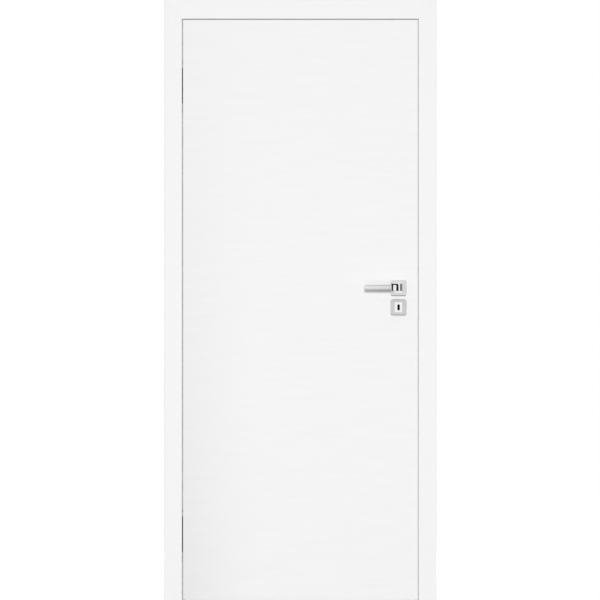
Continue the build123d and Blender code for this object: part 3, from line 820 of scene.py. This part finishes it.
def new_object(name, mesh):
    """Object from a mesh in progress."""
    data = bpy.data.meshes.new(name)
    mesh.to_mesh(data)
    mesh.free()
    piece = bpy.data.objects.new(name, data)
    bpy.context.scene.collection.objects.link(piece)
    return piece


def make_piece(name, mesh, body, material, angle=SMOOTH_ANGLE):
    """Finished object that rides on a body, smooth but for turns above an angle."""
    piece = new_object(name, mesh)
    piece.data.materials.append(material)
    for face in piece.data.polygons:
        face.use_smooth = True
    piece.data.set_sharp_from_angle(angle=angle)
    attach(piece, body)
    return piece


def make_screws(material):
    """Screws of the frame, the leaf and the handle."""
    on_frame = bmesh.new()
    on_leaf = bmesh.new()
    rightward = (1.0, 0.0, 0.0)
    leftward = (-1.0, 0.0, 0.0)
    for place in ("upper", "lower"):
        frame_housing = f"hinge_{place}_frame_housing"
        leaf_housing = f"hinge_{place}_leaf_housing"
        _, frame_plate_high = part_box(f"hinge_{place}_frame_housing")
        leaf_plate_low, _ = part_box(f"hinge_{place}_leaf_housing")
        hinge_plate_screws(on_frame, frame_housing, frame_plate_high.x, rightward)
        hinge_plate_screws(on_leaf, leaf_housing, leaf_plate_low.x, leftward)
    strike_low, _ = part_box("strike_plate")
    _, faceplate_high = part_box("lock_faceplate")
    edge_plate_screws(on_frame, "strike_plate", strike_low.x, leftward)
    edge_plate_screws(on_leaf, "lock_faceplate", faceplate_high.x, rightward)
    make_piece("screws_frame", on_frame, "frame", material)
    make_piece("screws_leaf", on_leaf, "leaf", material)
    on_handle = bmesh.new()
    level = SPINDLE_Z - NECK_RADIUS + GRUB_SINK
    for y in (FRONT - GRUB_FROM_LEAF, leaf_back_high.y + GRUB_FROM_LEAF):
        place = Vector((SPINDLE_X, y, level))
        add_screw(on_handle, place, (0.0, 0.0, -1.0), GRUB_RADIUS, hexagon_outline)
    make_piece("lever_grub_screws", on_handle, "handle", material)


# Lever


def rounded_outline(corners):
    """Closed outline through corners given as across, up and radius, with the corners rounded."""
    points = []
    count = len(corners)
    for i, (x, z, radius) in enumerate(corners):
        corner = Vector((x, z))
        if not radius:
            points.append(tuple(corner))
            continue
        before = (Vector(corners[i - 1][:2]) - corner).normalized()
        after = (Vector(corners[(i + 1) % count][:2]) - corner).normalized()
        half_angle = before.angle(after) / 2
        centre = corner + (before + after).normalized() * radius / math.sin(half_angle)
        start = corner + before * radius / math.tan(half_angle) - centre
        end = corner + after * radius / math.tan(half_angle) - centre
        sweep = start.angle_signed(end)
        for step in range(ARC_STEPS + 1):
            angle = -sweep * step / ARC_STEPS
            turned = Matrix.Rotation(angle, 2) @ start
            points.append(tuple(centre + turned))
    return points


def prism(outline, low, high, to_point):
    """Mesh of an outline carried from one distance to another."""
    mesh = bmesh.new()
    first = [mesh.verts.new(to_point(u, v, low)) for u, v in outline]
    second = [mesh.verts.new(to_point(u, v, high)) for u, v in outline]
    bridge(mesh, first, second)
    mesh.faces.new(first)
    mesh.faces.new(second)
    bmesh.ops.recalc_face_normals(mesh, faces=mesh.faces)
    return mesh


def soften_end(mesh, level, radius, steps):
    """Round off the edges at a level, apart from the one against the grip."""
    seam = SPINDLE_X + ELBOW_X[0]
    edges = []
    for edge in mesh.edges:
        at_level = all(abs(vert.co.z - level) < TOUCH for vert in edge.verts)
        at_seam = all(abs(vert.co.x - seam) < TOUCH for vert in edge.verts)
        if at_level and not at_seam:
            edges.append(edge)
    bmesh.ops.bevel(mesh, geom=edges, offset=radius, segments=steps, profile=ROUND, affect="EDGES")


def elbow_block():
    """Block of the elbow: its outline seen from above, with softened upper and lower edges."""
    left, right = ELBOW_X
    front, back = ELBOW_Y
    across, deep = ELBOW_SLOPE
    slope_start, slope_end = ELBOW_CORNERS
    outline = rounded_outline(
        [
            (left, front, 0.0),
            (right - across, front, slope_start),
            (right, front + deep, slope_end),
            (right, back, 0.0),
            (left, back, 0.0),
        ]
    )
    foot, top = ELBOW_Z
    mesh = prism(outline, foot, top, lambda x, y, z: (SPINDLE_X + x, FRONT + y, SPINDLE_Z + z))
    soften_end(mesh, SPINDLE_Z + top, ELBOW_EDGE, ELBOW_EDGE_STEPS)
    soften_end(mesh, SPINDLE_Z + foot, ELBOW_FOOT_EDGE, ELBOW_FOOT_STEPS)
    return mesh


def channel_cutter():
    """Solid that cuts the dark channel: an arch round a raised tenon."""
    left, right = CHANNEL_X
    foot, top = CHANNEL_Z
    leg_left, tenon_left = LEFT_LEG
    bar_foot = top - BAR_WIDTH
    outline = rounded_outline(
        [
            (left, top, 0.0),
            (right, top, CHANNEL_CORNER),
            (right, foot, CHANNEL_FOOT_CORNER),
            (TENON_RIGHT, foot, CHANNEL_FOOT_CORNER),
            (TENON_RIGHT, bar_foot, CHANNEL_INNER_CORNER),
            (tenon_left, bar_foot, 0.0),
            (tenon_left, foot, CHANNEL_FOOT_CORNER),
            (leg_left, foot, CHANNEL_FOOT_CORNER),
            (leg_left, bar_foot, 0.0),
            (left, bar_foot, 0.0),
        ]
    )
    front = ELBOW_Y[0]
    return prism(
        outline,
        front - CHANNEL_DEPTH,
        front + CHANNEL_DEPTH,
        lambda x, z, y: (SPINDLE_X + x, FRONT + y, SPINDLE_Z + z),
    )


def apply_cut(name, mesh, cutter_mesh):
    """Mesh with a cutter taken out of it."""
    body = new_object(name, mesh)
    cutter = new_object("cutter", cutter_mesh)
    cut = body.modifiers.new("cut", "BOOLEAN")
    cut.operation = "DIFFERENCE"
    cut.solver = "EXACT"
    cut.object = cutter
    result = bmesh.new()
    result.from_object(body, bpy.context.evaluated_depsgraph_get())
    bpy.data.objects.remove(cutter)
    bpy.data.objects.remove(body)
    return result


def add_neck(mesh):
    """Round neck between the elbow and the rose, with a fine groove."""
    groove = rose_low.y - FRONT - GROOVE_FROM_ROSE
    stations = (
        (ELBOW_Y[1] - NECK_IN_ELBOW, NECK_RADIUS),
        (groove - GROOVE_HALF_MOUTH, NECK_RADIUS),
        (groove - GROOVE_HALF_FLOOR, NECK_RADIUS - GROOVE_DEPTH),
        (groove + GROOVE_HALF_FLOOR, NECK_RADIUS - GROOVE_DEPTH),
        (groove + GROOVE_HALF_MOUTH, NECK_RADIUS),
        (-NECK_IN_ROSE, NECK_RADIUS),
    )
    loops = []
    for y, radius in stations:
        loop = []
        for step in range(CIRCLE_STEPS):
            angle = 2 * math.pi * step / CIRCLE_STEPS
            x = SPINDLE_X + radius * math.cos(angle)
            z = SPINDLE_Z + radius * math.sin(angle)
            loop.append(mesh.verts.new((x, FRONT + y, z)))
        loops.append(loop)
    for first, second in zip(loops, loops[1:]):
        bridge(mesh, first, second)
    mesh.faces.new(loops[0])
    mesh.faces.new(loops[-1])


def grip_stations():
    """Places along the grip from its tip, each with what the round tip takes off the height."""
    tip, root = GRIP_X
    stations = []
    for degrees in GRIP_TIP_TURNS:
        turn = math.radians(degrees)
        along = GRIP_TIP_CORNER * (1 - math.cos(turn))
        narrowed = GRIP_TIP_CORNER * (1 - math.sin(turn))
        stations.append((along, narrowed))
    stations.append((root - tip, 0.0))
    return stations


def grip_mesh():
    """Grip: one profile carried along the bar, narrowed at the rounded tip."""
    profile = list(GRIP_UPPER)
    profile.extend((depth, -height) for depth, height in reversed(GRIP_LOWER))
    half_height = max(height for _, height in GRIP_UPPER)
    half_depth = GRIP_UPPER[-1][0] / 2
    mesh = bmesh.new()
    loops = []
    for along, narrowed in grip_stations():
        scale = (half_height - narrowed) / half_height
        slim = 1.0 if along else GRIP_TIP_SLIM
        loop = []
        for depth, height in profile:
            x = SPINDLE_X + GRIP_X[0] + along
            y = FRONT + GRIP_FRONT + half_depth + (depth - half_depth) * slim
            z = SPINDLE_Z + GRIP_MIDDLE + height * scale
            loop.append(mesh.verts.new((x, y, z)))
        loops.append(loop)
    for first, second in zip(loops, loops[1:]):
        bridge(mesh, first, second)
    mesh.faces.new(loops[0])
    mesh.faces.new(loops[-1])
    bmesh.ops.recalc_face_normals(mesh, faces=mesh.faces)
    return mesh


def mirrored(mesh):
    """Copy of a mesh on the other side of the leaf."""
    copy = mesh.copy()
    for vert in copy.verts:
        vert.co.y = 2 * LEAF_MIDDLE - vert.co.y
    bmesh.ops.reverse_faces(copy, faces=copy.faces)
    return copy


def make_levers(materials):
    """Both levers, each an elbow and a grip, standing for the frame's own."""
    elbow = apply_cut("elbow_block", elbow_block(), channel_cutter())
    add_neck(elbow)
    bmesh.ops.recalc_face_normals(elbow, faces=elbow.faces)
    parts = (("elbow", elbow, CRISP_ANGLE), ("grip", grip_mesh(), SMOOTH_ANGLE))
    for part, mesh, angle in parts:
        for side, shape in (("rear", mirrored(mesh)), ("front", mesh)):
            name = f"fine_lever_{part}_{side}"
            piece = make_piece(name, shape, "handle", materials[part], angle)
            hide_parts(f"lever_{part}_{side}")


# Keyholes


def slot_points(half_width, half_height):
    """Outline of a slot with round ends."""
    points = []
    for end in (1, -1):
        for step in range(LINER_STEPS + 1):
            angle = math.pi * step / LINER_STEPS + (0.0 if end > 0 else math.pi)
            centre = end * (half_height - half_width)
            points.append((half_width * math.cos(angle), centre + half_width * math.sin(angle)))
    return points


def make_keyhole_liners(material):
    """Dark liner in each keyhole, painted shade inside the hole, with a fine dark rim on the plate
    that is wider on one side.
    """
    inner = slot_points(*KEYHOLE_HALF)
    outer = [(x + LINER_SHIFT, z) for x, z in slot_points(*LINER_HALF)]
    plate = escutcheon_low.y
    face = plate - LINER_PROUD
    rings = ((outer, plate), (outer, face), (inner, face), (inner, face + LINER_DEPTH))
    mesh = bmesh.new()
    loops = []
    for points, y in rings:
        loops.append([mesh.verts.new((SPINDLE_X + x, y, KEYHOLE_Z + z)) for x, z in points])
    for first, second in zip(loops, loops[1:]):
        bridge(mesh, first, second)
    bmesh.ops.recalc_face_normals(mesh, faces=mesh.faces)
    for side, shape in (("rear", mirrored(mesh)), ("front", mesh)):
        make_piece(f"keyhole_liner_{side}", shape, "leaf", material)


# Surroundings


def stage_plane(name, corners):
    """Flat stage object from four corners."""
    mesh = bpy.data.meshes.new(name)
    mesh.from_pydata(corners, [], [(0, 1, 2, 3)])
    plane = bpy.data.objects.new(name, mesh)
    bpy.context.scene.collection.objects.link(plane)
    return plane


def make_floor():
    """Pale floor that reads white where nothing shades it."""
    reach = FLOOR_REACH
    left = DOOR_CENTRE - reach
    right = DOOR_CENTRE + reach
    corners = [(left, -reach, 0), (right, -reach, 0), (right, reach, 0), (left, reach, 0)]
    floor = stage_plane("studio_floor", corners)
    material = bpy.data.materials.new("studio_floor")
    material.use_nodes = True
    nodes = material.node_tree.nodes
    nodes.clear()
    output = nodes.new("ShaderNodeOutputMaterial")
    matt = nodes.new("ShaderNodeBsdfDiffuse")
    matt.inputs["Color"].default_value = (FLOOR_TONE, FLOOR_TONE, FLOOR_TONE, 1.0)
    glow = nodes.new("ShaderNodeEmission")
    path = nodes.new("ShaderNodeLightPath")
    sum_shader = nodes.new("ShaderNodeAddShader")
    strength = math_node(material, "MULTIPLY", path.outputs["Is Camera Ray"], FLOOR_GLOW)
    shine = math_node(material, "MULTIPLY", path.outputs["Is Glossy Ray"], FLOOR_SHINE)
    strength = math_node(material, "ADD", strength, shine)
    feed(material, strength, glow.inputs["Strength"])
    feed(material, matt.outputs["BSDF"], sum_shader.inputs[0])
    feed(material, glow.outputs["Emission"], sum_shader.inputs[1])
    feed(material, sum_shader.outputs["Shader"], output.inputs["Surface"])
    floor.data.materials.append(material)


def reflection_card(name, corners, level):
    """Grey card of the studio that shows in reflections only."""
    card = stage_plane(name, corners)
    material = bpy.data.materials.new(name)
    material.use_nodes = True
    nodes = material.node_tree.nodes
    nodes.clear()
    output = nodes.new("ShaderNodeOutputMaterial")
    glow = nodes.new("ShaderNodeEmission")
    glow.inputs["Color"].default_value = (level, level, level, 1.0)
    feed(material, glow.outputs["Emission"], output.inputs["Surface"])
    card.data.materials.append(material)
    card.visible_camera = False
    card.visible_diffuse = False
    card.visible_shadow = False
    card.visible_transmission = False


def make_cards():
    """Grey card beside the door on the lock side, and one above the camera's line."""
    side = SPINDLE_X + SIDE_CARD_RIGHT
    front, back = SIDE_CARD_DEPTH
    foot, top = SIDE_CARD_HEIGHT
    beside = [(side, front, foot), (side, back, foot), (side, back, top), (side, front, top)]
    reflection_card("card_side", beside, SIDE_CARD_TONE)
    depth = UPPER_CARD_DEPTH
    left, right = UPPER_CARD_ACROSS
    foot, top = UPPER_CARD_HEIGHT
    above = [(left, depth, foot), (right, depth, foot), (right, depth, top), (left, depth, top)]
    reflection_card("card_upper", above, UPPER_CARD_TONE)


def make_world():
    """Even white surroundings: full white to the camera and in reflections, softer as light."""
    world = bpy.data.worlds.new("studio")
    bpy.context.scene.world = world
    world.use_nodes = True
    nodes = world.node_tree.nodes
    nodes.clear()
    output = nodes.new("ShaderNodeOutputWorld")
    back = nodes.new("ShaderNodeBackground")
    back.inputs["Color"].default_value = (*WHITE, 1.0)
    path = nodes.new("ShaderNodeLightPath")
    seen = math_node(world, "MAXIMUM", path.outputs["Is Camera Ray"], path.outputs["Is Glossy Ray"])
    seen = math_node(world, "MAXIMUM", seen, path.outputs["Is Transmission Ray"])
    feed(world, number_range(world, seen, 0.0, 1.0, WORLD_LIGHT, 1.0), back.inputs["Strength"])
    feed(world, back.outputs["Background"], output.inputs["Surface"])


def area_light(name, place, target, size, power):
    """Soft lamp aimed at a point, not seen itself."""
    data = bpy.data.lights.new(name, "AREA")
    data.shape = "RECTANGLE"
    data.size, data.size_y = size
    data.energy = power
    lamp = bpy.data.objects.new(name, data)
    lamp.location = place
    direction = Vector(target) - Vector(place)
    lamp.rotation_euler = direction.to_track_quat("-Z", "Y").to_euler()
    lamp.visible_camera = False
    lamp.visible_glossy = False
    bpy.context.scene.collection.objects.link(lamp)


def make_lights():
    """Distant frontal key above the camera's line, two fills, and a lamp behind the door."""
    middle = (DOOR_CENTRE, 0.0, AIM_HEIGHT)
    key = (DOOR_CENTRE + FRONT_RIGHT, -FRONT_DISTANCE, KEY_HEIGHT)
    area_light("key", key, middle, KEY_SIZE, KEY_POWER)
    front_fill = (DOOR_CENTRE + FRONT_RIGHT, -FRONT_DISTANCE, FRONT_FILL_HEIGHT)
    area_light("front_fill", front_fill, middle, FRONT_FILL_SIZE, FRONT_FILL_POWER)
    low_fill = (DOOR_CENTRE, -LOW_FILL_DISTANCE, LOW_FILL_HEIGHT)
    low_middle = (DOOR_CENTRE, 0.0, LOW_FILL_HEIGHT)
    area_light("low_fill", low_fill, low_middle, LOW_FILL_SIZE, LOW_FILL_POWER)
    behind = (DOOR_CENTRE - BACK_LEFT, BACK_DISTANCE, BACK_HEIGHT)
    area_light("back", behind, middle, BACK_SIZE, BACK_POWER)


def make_camera():
    """Long lens square on to the door, framed as the photograph is."""
    data = bpy.data.cameras.new("camera")
    data.sensor_width = SENSOR
    data.lens = SENSOR * CAMERA_DISTANCE / FRAME_HEIGHT
    data.clip_end = CAMERA_REACH
    camera = bpy.data.objects.new("camera", data)
    camera.location = (
        DOOR_CENTRE - CAMERA_SHIFT_LEFT,
        FRONT - CAMERA_DISTANCE,
        FRAME_FOOT + FRAME_HEIGHT / 2,
    )
    camera.rotation_euler = (math.radians(90.0), 0.0, 0.0)
    bpy.context.scene.collection.objects.link(camera)
    bpy.context.scene.camera = camera


def main():
    """Dress the frame and set the stage."""
    materials = make_materials()
    dress_nodes(materials)
    make_screws(materials["screw"])
    make_levers(materials)
    make_keyhole_liners(materials["keyhole_shade"])
    make_floor()
    make_cards()
    make_world()
    make_lights()
    make_camera()
    bpy.context.scene.view_settings.view_transform = "Standard"


main()
